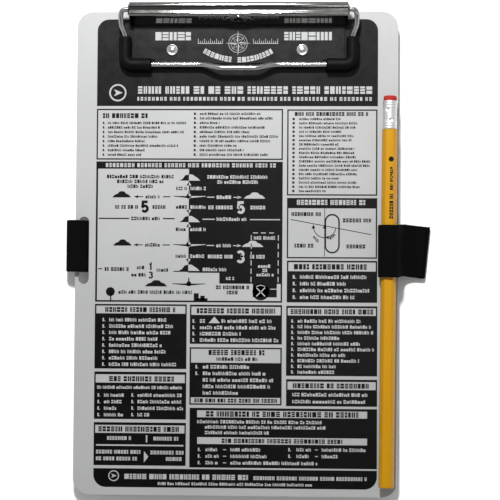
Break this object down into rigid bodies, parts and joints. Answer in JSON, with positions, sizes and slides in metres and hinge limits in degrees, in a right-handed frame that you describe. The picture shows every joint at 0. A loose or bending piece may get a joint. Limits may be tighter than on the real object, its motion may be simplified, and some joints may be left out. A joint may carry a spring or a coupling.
{
  "type": "pilot kneeboard",
  "caption": "Flat aluminium clipboard worn on the thigh, with a sprung wire clip and its lever, printed reference panels, an elastic strap and a pencil held under it.",
  "frame": {"origin": "bottom centre of the bounding box, on the surface the folded strap rests on", "axes": "+X across the board to the pencil's side, +Y up the board to the clip, +Z out of the writing face"},
  "size_m": [0.1792, 0.2416, 0.0167],
  "materials": {
    "bare_aluminium": "fine satin",
    "print_black": "semi-gloss printed ink",
    "print_white": "semi-gloss printed ink",
    "black_steel": "semi-gloss black enamel",
    "chrome_plate": "bright plating",
    "spring_steel": "oiled bright steel",
    "black_rubber": "satin",
    "black_webbing": "woven elastic",
    "pile_tape": "looped pile",
    "hook_tape": "nylon hooks",
    "stitch_thread": "twisted thread",
    "yellow_lacquer": "glossy lacquer over cedar",
    "graphite": "dull graphite",
    "ferrule_aluminium": "bright crimped",
    "eraser_rubber": "matte"
  },
  "bodies": {
    "board": {"board_plate": "bare_aluminium", "clip_base": "black_steel", "hinge_pin": "spring_steel", "rivet_left": "chrome_plate", "rivet_right": "chrome_plate", "torsion_spring_left": "spring_steel", "torsion_spring_right": "spring_steel", "strap_band": "black_webbing", "strap_fold": "black_webbing", "pile_patch": "pile_tape"},
    "clip": {"clip_lever": "chrome_plate", "bail_wire": "chrome_plate", "grip_sleeve_left": "black_rubber", "grip_sleeve_right": "black_rubber"},
    "pencil": {"pencil_body": "yellow_lacquer", "pencil_lead": "graphite", "pencil_ferrule": "ferrule_aluminium", "pencil_eraser": "eraser_rubber"},
    "tail": {"strap_tail": "black_webbing", "hook_patch": "hook_tape"}
  },
  "joints": [
    {"name": "clip_hinge", "type": "hinge", "parent": "board", "child": "clip", "pos_m": [-0.00496, 0.11406, 0.00868], "axis": [-1, 0, 0], "range_deg": [0, 45], "stiffness_Nm_per_rad": 0.08, "springref_deg": -57.3, "deforming": ["torsion_spring_left", "torsion_spring_right"]},
    {"name": "pencil_slide", "type": "slide", "parent": "board", "child": "pencil", "axis": [0.0079, 1, 0], "range_m": [-0.085, 0.125]},
    {"name": "strap_unfold", "type": "hinge", "parent": "board", "child": "tail", "pos_m": [0.08814, -0.0014, 0.0015], "axis": [0, -1, 0], "range_deg": [0, 170], "deforming": ["strap_fold"]}
  ]
}
